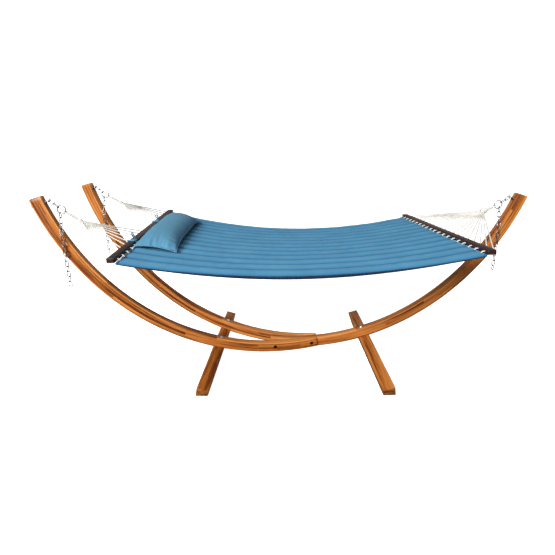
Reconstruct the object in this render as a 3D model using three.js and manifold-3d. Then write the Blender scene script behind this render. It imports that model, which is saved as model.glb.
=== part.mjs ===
// A quilted hammock on a laminated wooden arc stand, in millimetres, +Z up.
// The origin is at the centre of the bounding box's base. +X runs from the twin arms
// to the single arm, and the near side is -Y.
import * as THREE from 'three';
import { mergeVertices } from 'three/addons/utils/BufferGeometryUtils.js';
import Module from 'manifold-3d';

const wasm = await Module();
wasm.setup();

const degrees = THREE.MathUtils.degToRad;
const vector = (x, y, z) => new THREE.Vector3(x, y, z);

// ---- Driving dimensions ----
const GAP = 0.3; // between pieces that touch

// The arms share one section and one radius.
const ARM_WIDTH = 50;
const ARM_DEPTH = 69;
const ARM_RADIUS = 1518; // of the centreline
const ARM_CLEARANCE = 3; // under the lowest point of the arc
const ARM_SEGMENTS = 26;
const ARC_HEIGHT = ARM_CLEARANCE + ARM_DEPTH / 2 + ARM_RADIUS; // of the arcs' centres
const INNER_RADIUS = ARM_RADIUS - ARM_DEPTH / 2;
const OUTER_RADIUS = ARM_RADIUS + ARM_DEPTH / 2;

// The joint, where the twin arms clasp the single arm between them.
const JOINT_RIGHT = 184; // the twin arms' end
const JOINT_LEFT = -158; // the single arm's end
const JOINT_HALF_WIDTH = 15; // of the twin arms' centrelines at their end
const SPLAY = degrees(10.2); // of each twin arm, in plan
const BOLT_STATIONS = [-118, 148];
const BOLT_HEIGHTS = [43, 45];

const TWIN_LOWEST_X = -29;
const SINGLE_LOWEST_X = 29;
const TWIN_TIP_ANGLE = degrees(75);
const SINGLE_TIP_ANGLE = degrees(72.4);

// Each foot is a beam rolled to the slope of the arc, and cut flat underneath.
const FOOT = { length: 1058, width: 74, height: 90, roll: degrees(17), undercut: 60, offsetY: -128 };
const LEFT_FOOT_X = -512; // of the middle of its top face
const RIGHT_FOOT_X = 533;
const FOOT_TOE_IN = degrees(2.2);

const EYE_ANGLE_FROM_TIP = degrees(1.5);
const EYE = { radius: 11, wire: 4, centreHeight: 18.5, shankLength: 80, collar: 8 };
const EYE_WASHER = { outer: 12, top: 2.8 };
const EYE_NUT = { flange: 12, flangeEnd: 3, radius: 8, end: 10 };
const RING = { radius: 25, wire: 3 };
const LINK = { length: 37, width: 19, wire: 2.5, pitch: 32.8 }; // between wire centres
const SLACK = 1.4; // where a link hangs in an eye or a ring
const CHAIN_DRIFT = 0.03; // of the hanging chains, away from the bed

// Spreader bars, in their own frames: x out of the bed, y along the bar.
const BAR = { length: 1400, width: 42, height: 26 };
const LEFT_BAR = { x: -960, z: 893, yaw: degrees(2.95), tilt: degrees(-0.5), outward: -1 };
const RIGHT_BAR = { x: 970, z: 873, yaw: degrees(0.8), tilt: degrees(-4), outward: 1 };
const ROPE_COUNT = 20;
const ROPE_SPACING = 70;
const ROPE_RADIUS = 3.2;
const ROPE_HOLE_RADIUS = 5;
const ROPE_LOOP = { radius: 8.5, wire: 4 }; // through each ring

const BED = { halfWidth: 700, thickness: 24, nearSag: 86, farSag: 113, barToHem: 30, drop: 18 };
const PILLOW = { near: -415, far: 500, width: 250, fromHem: 4, edge: 22, fullness: 60 };
const TIE = { wall: 2, slack: 1, width: 14, knot: 9, knotX: 20, knotRise: 8, strap: 3, tail: 2.5 };
const TIE_STATIONS = [-345, 210];

// ---- Materials ----
const material = (color, roughness, metalness = 0) =>
  new THREE.MeshStandardMaterial({ color, roughness, metalness });
const WOOD = material(0xa8571f, 0.5);
const STEEL = material(0x9aa3aa, 0.35, 1);
const DARK_WOOD = material(0x33201a, 0.5);
const ROPE = material(0xe9e6dc, 0.9);
const QUILT = material(0x3d7299, 0.95);

// ---- Solids ----
// A manifold solid from a closed three.js geometry, and a geometry from a solid.
function solidOf(geometry) {
  const bare = geometry.clone();
  bare.deleteAttribute('normal');
  bare.deleteAttribute('uv');
  const merged = mergeVertices(bare, 1e-4);
  const vertProperties = new Float32Array(merged.attributes.position.array);
  const triVerts = new Uint32Array(merged.index.array);
  return new wasm.Manifold(new wasm.Mesh({ numProp: 3, vertProperties, triVerts }));
}

function geometryOf(solid) {
  const { vertProperties, triVerts } = solid.getMesh();
  const geometry = new THREE.BufferGeometry();
  geometry.setAttribute('position', new THREE.BufferAttribute(vertProperties, 3));
  geometry.setIndex(new THREE.BufferAttribute(triVerts, 1));
  geometry.computeVertexNormals();
  return geometry;
}

function join(geometries) {
  return geometries.map(solidOf).reduce((whole, piece) => whole.add(piece));
}

function cut(solid, geometries) {
  return geometries.map(solidOf).reduce((rest, piece) => rest.subtract(piece), solid);
}

// A cylinder from one point to another.
function rod(from, to, radius, sides = 12) {
  const along = to.clone().sub(from);
  const geometry = new THREE.CylinderGeometry(radius, radius, along.length(), sides);
  const turn = new THREE.Quaternion().setFromUnitVectors(vector(0, 1, 0), along.normalize());
  geometry.applyQuaternion(turn);
  const middle = from.clone().add(to).multiplyScalar(0.5);
  return geometry.translate(middle.x, middle.y, middle.z);
}

// A closed tube of straight runs through the given points.
function tube(points, radius, sides = 8) {
  const runs = points.slice(1).map((point, i) => point.clone().sub(points[i]).normalize());
  const positions = [];
  let across = runs[0].clone().cross(vector(0.31, 0.2, 0.93)).normalize();
  points.forEach((point, i) => {
    const before = runs[Math.max(i - 1, 0)];
    const after = runs[Math.min(i, runs.length - 1)];
    const ahead = before.clone().add(after).normalize();
    across.addScaledVector(before, -across.dot(before)).normalize();
    const third = before.clone().cross(across);
    for (let j = 0; j < sides; j += 1) {
      const turn = (2 * Math.PI * j) / sides;
      const spoke = across.clone().multiplyScalar(radius * Math.cos(turn));
      spoke.addScaledVector(third, radius * Math.sin(turn));
      spoke.addScaledVector(before, -spoke.dot(ahead) / before.dot(ahead)); // mitred at the bend
      positions.push(...spoke.add(point).toArray());
    }
    across = across.clone().applyQuaternion(new THREE.Quaternion().setFromUnitVectors(before, after));
  });
  const index = [];
  const last = (points.length - 1) * sides;
  for (let j = 0; j < sides; j += 1) {
    const next = (j + 1) % sides;
    for (let base = 0; base < last; base += sides) {
      index.push(base + j, base + next, base + sides + next);
      index.push(base + j, base + sides + next, base + sides + j);
    }
    if (j > 0 && j < sides - 1) index.push(0, j + 1, j, last, last + j, last + j + 1);
  }
  const geometry = new THREE.BufferGeometry();
  geometry.setAttribute('position', new THREE.Float32BufferAttribute(positions, 3));
  geometry.setIndex(index);
  geometry.computeVertexNormals();
  return geometry;
}

// A flat ring about Z, between two heights.
function washer(inner, outer, low, high) {
  const corners = [[inner, low], [outer, low], [outer, high], [inner, high], [inner, low]];
  const profile = corners.map(([radius, height]) => new THREE.Vector2(radius, height));
  return new THREE.LatheGeometry(profile, 16).rotateX(Math.PI / 2);
}

// A closed slab between two surfaces, each a function of u and v from 0 to 1.
function slab(top, bottom, columns, rows) {
  const positions = [];
  for (const surface of [top, bottom]) {
    for (let i = 0; i <= columns; i += 1) {
      for (let j = 0; j <= rows; j += 1) {
        positions.push(...surface(i / columns, j / rows).toArray());
      }
    }
  }
  const layer = (columns + 1) * (rows + 1);
  const at = (i, j, side) => side * layer + i * (rows + 1) + j;
  const index = [];
  const quad = (a, b, c, d) => index.push(a, b, c, a, c, d);
  for (let i = 0; i < columns; i += 1) {
    for (let j = 0; j < rows; j += 1) {
      quad(at(i, j, 0), at(i + 1, j, 0), at(i + 1, j + 1, 0), at(i, j + 1, 0));
      quad(at(i, j, 1), at(i, j + 1, 1), at(i + 1, j + 1, 1), at(i + 1, j, 1));
    }
    quad(at(i, 0, 1), at(i + 1, 0, 1), at(i + 1, 0, 0), at(i, 0, 0));
    quad(at(i, rows, 0), at(i + 1, rows, 0), at(i + 1, rows, 1), at(i, rows, 1));
  }
  for (let j = 0; j < rows; j += 1) {
    quad(at(0, j, 0), at(0, j + 1, 0), at(0, j + 1, 1), at(0, j, 1));
    quad(at(columns, j, 1), at(columns, j + 1, 1), at(columns, j + 1, 0), at(columns, j, 0));
  }
  const geometry = new THREE.BufferGeometry();
  geometry.setAttribute('position', new THREE.Float32BufferAttribute(positions, 3));
  geometry.setIndex(index);
  geometry.computeVertexNormals();
  return geometry;
}

const hammock = new THREE.Group();

function add(name, shape, look, parent = hammock) {
  const geometry = shape.isBufferGeometry ? shape : geometryOf(shape);
  const mesh = new THREE.Mesh(geometry, look);
  mesh.name = name;
  parent.add(mesh);
}

// ---- Stand ----
// Each arm's frame has its lowest point at x = 0, its run outwards along +X and its
// width along Y.
function armFrame(x, y, turn) {
  return new THREE.Matrix4().makeTranslation(x, y, 0).multiply(new THREE.Matrix4().makeRotationZ(turn));
}

const twinLowestY = JOINT_HALF_WIDTH + (JOINT_RIGHT - TWIN_LOWEST_X) * Math.tan(SPLAY);
const twinStart = -Math.asin((JOINT_RIGHT - TWIN_LOWEST_X) / Math.cos(SPLAY) / ARM_RADIUS);
const singleStart = Math.asin((JOINT_LEFT - SINGLE_LOWEST_X) / ARM_RADIUS);
const NEAR_ARM = {
  name: 'near_left', frame: armFrame(TWIN_LOWEST_X, -twinLowestY, Math.PI + SPLAY),
  start: twinStart, tip: TWIN_TIP_ANGLE, foot: LEFT_FOOT_X - 1,
};
const FAR_ARM = {
  name: 'far_left', frame: armFrame(TWIN_LOWEST_X, twinLowestY, Math.PI - SPLAY),
  start: twinStart, tip: TWIN_TIP_ANGLE, foot: LEFT_FOOT_X + 11,
};
const SINGLE_ARM = {
  name: 'right', frame: armFrame(SINGLE_LOWEST_X, 0, 0),
  start: singleStart, tip: SINGLE_TIP_ANGLE, foot: RIGHT_FOOT_X - 5,
};
const ARMS = [NEAR_ARM, FAR_ARM, SINGLE_ARM];

function armPoint(arm, angle, radius) {
  const local = vector(radius * Math.sin(angle), 0, ARC_HEIGHT - radius * Math.cos(angle));
  return local.applyMatrix4(arm.frame);
}

function armBand(arm, grow = 0) {
  const outline = new THREE.Shape();
  const from = arm.start - Math.PI / 2;
  const to = arm.tip - Math.PI / 2;
  outline.absarc(0, ARC_HEIGHT, OUTER_RADIUS + grow, from, to, false);
  outline.absarc(0, ARC_HEIGHT, INNER_RADIUS - grow, to, from, true);
  const depth = ARM_WIDTH + 2 * grow;
  const options = { depth, bevelEnabled: false, curveSegments: ARM_SEGMENTS };
  const band = new THREE.ExtrudeGeometry(outline, options);
  return band.rotateX(Math.PI / 2).translate(0, depth / 2, 0).applyMatrix4(arm.frame);
}

// The angle at which an arm crosses a given X, on its underside.
function angleAtX(arm, x) {
  let angle = 0;
  for (let step = 0; step < 20; step += 1) {
    const error = armPoint(arm, angle, OUTER_RADIUS).x - x;
    const slope = armPoint(arm, angle + 0.001, OUTER_RADIUS).x - armPoint(arm, angle, OUTER_RADIUS).x;
    angle -= (error / slope) * 0.001;
  }
  return angle;
}

const SCREW = { radius: 5, headRadius: 9, headHeight: 7, depthInFoot: 55 };
for (const arm of ARMS) {
  arm.footAngle = angleAtX(arm, arm.foot);
  arm.eyeAngle = arm.tip - EYE_ANGLE_FROM_TIP;
  arm.screwTop = armPoint(arm, arm.footAngle, INNER_RADIUS);
  arm.screwEnd = armPoint(arm, arm.footAngle, OUTER_RADIUS + SCREW.depthInFoot);
  arm.inward = armPoint(arm, arm.eyeAngle, INNER_RADIUS - 1).sub(armPoint(arm, arm.eyeAngle, INNER_RADIUS));
  arm.inward.normalize();
}

const THROUGH = { radius: 5, headRadius: 10, headHeight: 6.5, recessRadius: 14, recessDepth: 8 };

// Half the width over the twin arms' outer faces, at a given X.
function outerFaceY(x) {
  return JOINT_HALF_WIDTH + (JOINT_RIGHT - x) * Math.tan(SPLAY) + ARM_WIDTH / 2 / Math.cos(SPLAY);
}

const throughBolts = BOLT_STATIONS.map((x, i) => {
  const seat = outerFaceY(x) - THROUGH.recessDepth;
  return { x, z: BOLT_HEIGHTS[i], seat };
});

function armHoles(arm) {
  const past = 2;
  const eyeHole = rod(
    armPoint(arm, arm.eyeAngle, INNER_RADIUS - past),
    armPoint(arm, arm.eyeAngle, OUTER_RADIUS + past),
    EYE.wire + GAP,
  );
  const screwHole = rod(
    armPoint(arm, arm.footAngle, INNER_RADIUS - past),
    armPoint(arm, arm.footAngle, OUTER_RADIUS + past),
    SCREW.radius + GAP,
  );
  const boltHoles = throughBolts.flatMap(({ x, z, seat }) => [
    rod(vector(x, -200, z), vector(x, 200, z), THROUGH.radius + GAP),
    rod(vector(x, seat, z), vector(x, 200, z), THROUGH.recessRadius, 16),
    rod(vector(x, -200, z), vector(x, -seat, z), THROUGH.recessRadius, 16),
  ]);
  return [eyeHole, screwHole, ...boltHoles];
}

for (const arm of ARMS) {
  let solid = cut(solidOf(armBand(arm)), armHoles(arm));
  if (arm !== SINGLE_ARM) {
    // The twin arms are planed flat where they bear on the single arm.
    const slot = new THREE.BoxGeometry(600, ARM_WIDTH + 2 * GAP, 400);
    solid = cut(solid, [slot.translate(JOINT_RIGHT, 0, 0)]);
  }
  add(`${arm.name}_arm`, solid, WOOD);
}

// A foot: its top and sides rolled outwards, its underside flat, its ends undercut.
function footBlock(outward) {
  const block = new THREE.BoxGeometry(FOOT.width, FOOT.length, FOOT.height);
  const corners = block.attributes.position;
  for (let i = 0; i < corners.count; i += 1) {
    const acrossTop = corners.getX(i);
    const x = acrossTop * Math.cos(FOOT.roll);
    const z = FOOT.height + acrossTop * outward * Math.sin(FOOT.roll);
    if (corners.getZ(i) > 0) {
      corners.setX(i, x);
      corners.setZ(i, z);
    } else {
      corners.setX(i, x + outward * z * Math.tan(FOOT.roll));
      corners.setY(i, Math.sign(corners.getY(i)) * (FOOT.length / 2 - FOOT.undercut));
      corners.setZ(i, 0);
    }
  }
  return block;
}

function addFoot(name, x, outward, arms) {
  const block = footBlock(outward).rotateZ(outward * FOOT_TOE_IN).translate(x, FOOT.offsetY, 0);
  const seats = arms.map((arm) => armBand(arm, GAP));
  const holes = arms.map((arm) => {
    const down = arm.screwEnd.clone().sub(arm.screwTop).normalize();
    const deeper = arm.screwEnd.clone().add(down);
    return rod(arm.screwTop, deeper, SCREW.radius + GAP);
  });
  add(name, cut(solidOf(block), [...seats, ...holes]), WOOD);
}

addFoot('left_foot', LEFT_FOOT_X, -1, [NEAR_ARM, FAR_ARM]);
addFoot('right_foot', RIGHT_FOOT_X, 1, [SINGLE_ARM]);

// Coach screws hold the arms down on the feet.
const SCREW_WASHER = { outer: 14, thickness: 2.5 };
for (const arm of ARMS) {
  const up = arm.screwTop.clone().sub(arm.screwEnd).normalize();
  const seat = arm.screwTop.clone().addScaledVector(up, SCREW_WASHER.thickness + 2 * GAP);
  const head = rod(seat, seat.clone().addScaledVector(up, SCREW.headHeight), SCREW.headRadius, 6);
  const shank = rod(arm.screwEnd, seat.clone().addScaledVector(up, 1), SCREW.radius);
  add(`${arm.name}_foot_screw`, join([head, shank]), STEEL);
  const disc = washer(SCREW.radius + GAP, SCREW_WASHER.outer, GAP, GAP + SCREW_WASHER.thickness);
  disc.applyQuaternion(new THREE.Quaternion().setFromUnitVectors(vector(0, 0, 1), up));
  disc.translate(arm.screwTop.x, arm.screwTop.y, arm.screwTop.z);
  add(`${arm.name}_foot_washer`, disc, STEEL);
}

// Through-bolts clamp the three arms together, with head and nut sunk in the twin arms.
throughBolts.forEach(({ x, z, seat }, i) => {
  const outer = -seat - GAP;
  const head = rod(vector(x, outer, z), vector(x, outer - THROUGH.headHeight, z), THROUGH.headRadius, 6);
  const shank = rod(vector(x, outer - 1, z), vector(x, seat + THROUGH.headHeight, z), THROUGH.radius);
  add(`joint_bolt_${i + 1}`, join([head, shank]), STEEL);
  const nut = rod(vector(x, seat + GAP, z), vector(x, seat + GAP + 5.5, z), THROUGH.headRadius, 6);
  const bore = rod(vector(x, seat - 1, z), vector(x, seat + 10, z), THROUGH.radius + GAP);
  add(`joint_nut_${i + 1}`, cut(solidOf(nut), [bore]), STEEL);
});

// ---- Suspension at each arm's tip ----
// A link of chain, long along Z and flat in XZ.
function chainLink() {
  const link = new THREE.TorusGeometry(LINK.width / 2, LINK.wire, 6, 8).rotateZ(Math.PI / 8);
  const corners = link.attributes.position;
  const stretch = (LINK.length - LINK.width) / 2;
  for (let i = 0; i < corners.count; i += 1) {
    corners.setY(i, corners.getY(i) + Math.sign(corners.getY(i)) * stretch);
  }
  return link.rotateX(Math.PI / 2);
}

// Links from a start point, one for each direction, each turned a quarter from the last
// and fused where they touch.
function chain(start, directions, firstNormal) {
  let end = start.clone();
  const links = directions.map((down, i) => {
    const side = down.clone().cross(firstNormal).normalize();
    const flat = i % 2 === 0 ? side.clone().cross(down) : side;
    const frame = new THREE.Matrix4().makeBasis(flat.clone().cross(down), flat, down);
    frame.setPosition(end.clone().addScaledVector(down, LINK.length / 2));
    end = end.clone().addScaledVector(down, LINK.pitch);
    return chainLink().applyMatrix4(frame);
  });
  return join(links);
}

function addEyeBolt(arm) {
  const seat = armPoint(arm, arm.eyeAngle, INNER_RADIUS);
  const group = new THREE.Group();
  group.position.copy(seat);
  group.quaternion.setFromRotationMatrix(arm.frame);
  group.rotateY(-arm.eyeAngle);
  hammock.add(group);
  const eye = new THREE.TorusGeometry(EYE.radius, EYE.wire, 8, 16).rotateY(Math.PI / 2);
  const collarLow = EYE_WASHER.top + GAP;
  const collarTop = EYE.centreHeight - EYE.radius;
  const bolt = join([
    eye.translate(0, 0, EYE.centreHeight),
    rod(vector(0, 0, collarLow), vector(0, 0, collarTop), EYE.collar),
    rod(vector(0, 0, -EYE.shankLength), vector(0, 0, collarTop), EYE.wire),
  ]);
  add(`${arm.name}_eye_bolt`, bolt, STEEL, group);
  const disc = washer(EYE.wire + GAP, EYE_WASHER.outer, GAP, EYE_WASHER.top);
  add(`${arm.name}_eye_washer`, disc, STEEL, group);
  const behind = (depth) => vector(0, 0, -ARM_DEPTH - depth);
  const nut = join([
    rod(behind(GAP), behind(EYE_NUT.flangeEnd), EYE_NUT.flange, 16),
    rod(behind(EYE_NUT.flangeEnd - 0.5), behind(EYE_NUT.end), EYE_NUT.radius, 6),
  ]);
  const bore = rod(behind(0), behind(2 * EYE_NUT.end), EYE.wire + GAP);
  add(`${arm.name}_eye_nut`, cut(nut, [bore]), STEEL, group);
}

// Where each arm's ring hangs, how its surplus chain drops, and where the rope neck starts.
const SUSPENSIONS = [
  { arm: NEAR_ARM, pull: vector(0.75, -0.14, -0.65), chainY: -337, links: 14, toBed: 1 },
  { arm: FAR_ARM, pull: vector(0.75, -0.14, -0.65), chainY: 249, links: 13, toBed: 1 },
  { arm: SINGLE_ARM, pull: vector(-0.81, -0.12, -0.57), chainY: -40, links: 13, toBed: -1 },
];

function hangRing(suspension) {
  const { arm } = suspension;
  const pull = suspension.pull.clone().normalize();
  const eyeTop = armPoint(arm, arm.eyeAngle, INNER_RADIUS - EYE.centreHeight - EYE.radius);
  const start = eyeTop.clone().addScaledVector(pull, -(EYE.wire + LINK.wire + SLACK));
  const end = start.clone().addScaledVector(pull, LINK.length + LINK.pitch);
  const lateral = arm.inward.clone().cross(vector(0, 0, 1)).normalize();
  const anchor = chain(start, [pull, pull], lateral);
  add(`${arm.name}_anchor_chain`, anchor, STEEL);

  const hook = end.clone().addScaledVector(pull, -(RING.wire + LINK.wire + SLACK));
  const inPlane = vector(pull.x, 0, pull.z).normalize();
  suspension.ring = hook.clone().addScaledVector(inPlane, RING.radius);
  const ring = new THREE.TorusGeometry(RING.radius, RING.wire, 8, 16).rotateX(Math.PI / 2);
  const { x, y, z } = suspension.ring;
  add(`${arm.name}_ring`, ring.translate(x, y, z), STEEL);
}

// The surplus chain hangs from the ring's lower quarter. Its second to fourth links lean
// over to clear the face of the arm.
function hangChain({ arm, ring, chainY, links, toBed }) {
  const rest = (RING.radius - RING.wire - LINK.wire - SLACK) * Math.SQRT1_2;
  const top = ring.clone().add(vector(-toBed * rest, 0, -rest));
  const lean = Math.asin((chainY - top.y) / (3 * LINK.pitch));
  const directions = Array.from({ length: links }, (_, i) => {
    const sideways = i >= 1 && i <= 3 ? Math.tan(lean) : 0;
    return vector(i > 3 ? -toBed * CHAIN_DRIFT : 0, sideways, -1).normalize();
  });
  add(`${arm.name}_surplus_chain`, chain(top, directions, vector(1, 0, 0)), STEEL);
}

for (const suspension of SUSPENSIONS) {
  addEyeBolt(suspension.arm);
  hangRing(suspension);
  hangChain(suspension);
}

// ---- Spreader bars ----
function barFrame({ x, z, yaw, tilt }) {
  const turn = new THREE.Euler(tilt, 0, yaw, 'ZXY');
  return new THREE.Matrix4().makeRotationFromEuler(turn).setPosition(x, 0, z);
}

for (const bar of [LEFT_BAR, RIGHT_BAR]) bar.frame = barFrame(bar);

const ropeStation = (i) => (i - (ROPE_COUNT - 1) / 2) * ROPE_SPACING;
const barPoint = (bar, x, y, z) => vector(x, y, z).applyMatrix4(bar.frame);

function barSolid(bar) {
  const holes = [];
  for (let i = 0; i < ROPE_COUNT; i += 1) {
    const y = ropeStation(i);
    holes.push(rod(vector(-BAR.width, y, 0), vector(BAR.width, y, 0), ROPE_HOLE_RADIUS, 8));
  }
  const blank = new THREE.BoxGeometry(BAR.width, BAR.length, BAR.height);
  return geometryOf(cut(solidOf(blank), holes)).applyMatrix4(bar.frame);
}

add('left_spreader_bar', barSolid(LEFT_BAR), DARK_WOOD);
add('right_spreader_bar', barSolid(RIGHT_BAR), DARK_WOOD);

// ---- Rope fans ----
// One rope: from the neck straight through its hole in the bar and on to the bed's hem.
function ropeSolid(bar, apex, y) {
  const mouth = bar.outward * (BAR.width / 2 + 6);
  const inside = -bar.outward * (BAR.width / 2 + 1);
  const hem = -bar.outward * (BED.barToHem + 2);
  const overHem = -BED.drop + BED.thickness / 2 + ROPE_RADIUS + GAP;
  const corners = [[mouth, 0], [inside, 0], [hem, overHem]].map(([x, z]) => barPoint(bar, x, y, z));
  return tube([apex, ...corners], ROPE_RADIUS);
}

function addFan(name, bar, suspension, apex, neckRadius, knotRadius, stations) {
  const outward = apex.clone().sub(suspension.ring).setY(0).normalize();
  const loopCentre = suspension.ring.clone().addScaledVector(outward, RING.radius);
  const loop = new THREE.TorusGeometry(ROPE_LOOP.radius, ROPE_LOOP.wire, 8, 12);
  loop.rotateY(Math.atan2(-outward.z, outward.x)).translate(loopCentre.x, loopCentre.y, loopCentre.z);
  const neckStart = loopCentre.clone().addScaledVector(outward, ROPE_LOOP.radius + 1);
  const knot = new THREE.IcosahedronGeometry(knotRadius, 1).translate(apex.x, apex.y, apex.z);
  const ropes = stations.map((i) => ropeSolid(bar, apex, ropeStation(i)));
  add(name, join([loop, rod(neckStart, apex, neckRadius, 10), knot, ...ropes]), ROPE);
}

const [nearSuspension, farSuspension, rightSuspension] = SUSPENSIONS;
const allRopes = Array.from({ length: ROPE_COUNT }, (_, i) => i);
const nearRopes = allRopes.slice(0, ROPE_COUNT / 2);
const farRopes = allRopes.slice(ROPE_COUNT / 2);
addFan('near_left_rope_fan', LEFT_BAR, nearSuspension, vector(-1240, -312, 1026), 6.5, 11, nearRopes);
addFan('far_left_rope_fan', LEFT_BAR, farSuspension, vector(-1240, 300, 1032), 6.5, 11, farRopes);
addFan('right_rope_fan', RIGHT_BAR, rightSuspension, vector(1254, -4, 994), 8, 21, allRopes);

// ---- Bed ----
// The bed's middle surface hangs between the bars: u runs along it, v across it.
function bedPoint(u, v, lift = 0) {
  const y = (2 * v - 1) * BED.halfWidth;
  const left = barPoint(LEFT_BAR, BED.barToHem, y, -BED.drop);
  const right = barPoint(RIGHT_BAR, -BED.barToHem, y, -BED.drop);
  const point = left.lerp(right, u);
  point.z += lift - THREE.MathUtils.lerp(BED.nearSag, BED.farSag, v) * 4 * u * (1 - u);
  return point;
}

const halfBed = BED.thickness / 2;
add('quilted_bed', slab((u, v) => bedPoint(u, v, halfBed), (u, v) => bedPoint(u, v, -halfBed), 18, 6), QUILT);

// ---- Pillow and its ties ----
const bedLength = RIGHT_BAR.x - LEFT_BAR.x - 2 * BED.barToHem;
function pillowPoint(u, v, top) {
  const y = THREE.MathUtils.lerp(PILLOW.near, PILLOW.far, v);
  const along = (PILLOW.fromHem + u * PILLOW.width) / bedLength;
  const plump = (1 - (2 * u - 1) ** 4) * (1 - (2 * v - 1) ** 4);
  const lift = halfBed + 1.5 + (top ? PILLOW.edge + PILLOW.fullness * plump : 0);
  return bedPoint(along, (y / BED.halfWidth + 1) / 2, lift);
}

add('pillow', slab((u, v) => pillowPoint(u, v, true), (u, v) => pillowPoint(u, v, false), 8, 12), QUILT);

// A tie: a band round the bar, a knot on top, a strap to the pillow and two loose tails.
function rectangle(ShapeType, halfX, halfZ) {
  return new ShapeType()
    .moveTo(-halfX, -halfZ).lineTo(halfX, -halfZ).lineTo(halfX, halfZ).lineTo(-halfX, halfZ).closePath();
}

function tieSolid(y) {
  const inX = BAR.width / 2 + TIE.slack;
  const inZ = BAR.height / 2 + TIE.slack;
  const band = rectangle(THREE.Shape, inX + TIE.wall, inZ + TIE.wall);
  band.holes.push(rectangle(THREE.Path, inX, inZ));
  const loop = new THREE.ExtrudeGeometry(band, { depth: TIE.width, bevelEnabled: false });
  loop.rotateX(Math.PI / 2).translate(0, y + TIE.width / 2, 0);
  const knotAt = vector(TIE.knotX, y, inZ + TIE.wall + TIE.knotRise);
  const knot = new THREE.IcosahedronGeometry(TIE.knot, 1).translate(knotAt.x, knotAt.y, knotAt.z);
  const strapEnd = BED.barToHem + PILLOW.fromHem - 1;
  const strap = new THREE.BoxGeometry(strapEnd - TIE.knotX, TIE.width, TIE.strap);
  strap.translate((strapEnd + TIE.knotX) / 2, y, knotAt.z - TIE.knot / 2);
  const tails = [-1, 1].map((side) => {
    const tip = knotAt.clone().add(vector(-16, side * 22, 40));
    return rod(knotAt, tip, TIE.tail, 8);
  });
  return join([loop, knot, strap, ...tails]);
}

TIE_STATIONS.forEach((y, i) => {
  const side = ['near', 'far'][i];
  add(`${side}_pillow_tie`, geometryOf(tieSolid(y)).applyMatrix4(LEFT_BAR.frame), QUILT);
});

export default hammock;
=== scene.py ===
"""A quilted hammock on a laminated wooden arc stand: its looks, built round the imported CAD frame.

Metres, +Z up. +X runs from the twin arms to the single arm, and the near side is -Y.
The sizes below repeat those of part.mjs.
"""

import random
from math import asin, atan2, copysign, cos, exp, hypot, pi, radians, sin, sqrt, tan

import bmesh
import bpy
import numpy as np
from mathutils import Matrix, Vector, noise


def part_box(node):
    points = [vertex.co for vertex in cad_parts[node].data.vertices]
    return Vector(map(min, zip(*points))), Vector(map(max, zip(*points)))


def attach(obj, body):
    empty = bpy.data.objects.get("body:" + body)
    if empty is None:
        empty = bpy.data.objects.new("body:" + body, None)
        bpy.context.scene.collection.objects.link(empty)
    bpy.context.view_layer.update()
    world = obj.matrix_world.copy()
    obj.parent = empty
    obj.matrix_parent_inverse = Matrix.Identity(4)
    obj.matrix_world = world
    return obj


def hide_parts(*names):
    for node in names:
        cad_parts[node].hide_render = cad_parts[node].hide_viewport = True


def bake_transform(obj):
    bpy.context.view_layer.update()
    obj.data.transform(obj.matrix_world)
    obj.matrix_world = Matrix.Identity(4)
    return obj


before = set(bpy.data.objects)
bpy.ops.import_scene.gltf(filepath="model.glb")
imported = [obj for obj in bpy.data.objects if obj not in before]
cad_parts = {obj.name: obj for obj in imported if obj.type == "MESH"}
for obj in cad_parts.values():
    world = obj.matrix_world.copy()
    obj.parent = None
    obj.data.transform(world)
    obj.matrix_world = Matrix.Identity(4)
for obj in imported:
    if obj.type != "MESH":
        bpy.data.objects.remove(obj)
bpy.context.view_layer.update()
scene = bpy.context.scene

# ---- Driving dimensions, as in part.mjs ----
ARM_WIDTH = 0.050
ARM_DEPTH = 0.069
ARM_RADIUS = 1.518
ARM_CLEARANCE = 0.003
EDGE_ROUNDING = 0.0035
GAP = 0.0003
ARC_HEIGHT = ARM_CLEARANCE + ARM_DEPTH / 2 + ARM_RADIUS
INNER_RADIUS = ARM_RADIUS - ARM_DEPTH / 2

JOINT_RIGHT = 0.184
JOINT_LEFT = -0.158
JOINT_HALF_WIDTH = 0.015
SPLAY = radians(10.2)
BOLT_STATIONS = ((-0.118, 0.043), (0.148, 0.045))
RECESS_DEPTH = 0.008
RECESS_RADIUS = 0.0135
PLANED_FACE = ARM_WIDTH / 2 + GAP
TWIN_LOWEST_X = -0.029
SINGLE_LOWEST_X = 0.029
TWIN_TIP = radians(75)
SINGLE_TIP = radians(72.4)

FOOT_LENGTH = 1.058
FOOT_WIDTH = 0.074
FOOT_HEIGHT = 0.090
FOOT_ROLL = radians(17)
FOOT_UNDERCUT = 0.060
FOOT_Y = -0.128
FOOT_TOE_IN = radians(2.2)
LEFT_FOOT_X = -0.512
RIGHT_FOOT_X = 0.533

EYE_RADIUS = 0.011
EYE_WIRE = 0.004
EYE_HEIGHT = 0.0185
EYE_FROM_TIP = radians(1.5)
RING_RADIUS = 0.025
RING_WIRE = 0.003
LINK_LENGTH = 0.037
LINK_WIDTH = 0.019
LINK_WIRE = 0.0025
LINK_PITCH = 0.0328
SLACK = 0.0014
CHAIN_DRIFT = 0.03

BAR_LENGTH = 1.400
BAR_WIDTH = 0.042
BAR_HEIGHT = 0.026
BAR_ROUNDING = 0.004
ROPE_COUNT = 20
ROPE_SPACING = 0.070
ROPE_RADIUS = 0.0034
ROPE_HOLE = 0.0048
ROPE_SAG = 0.005
ROPE_SLIP = 0.004

BED_HALF_WIDTH = 0.700
BED_NEAR_SAG = 0.086
BED_FAR_SAG = 0.113
BAR_TO_HEM = 0.030
BED_DROP = 0.018
BED_HALF_THICKNESS = 0.012
CHANNELS = 13

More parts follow.
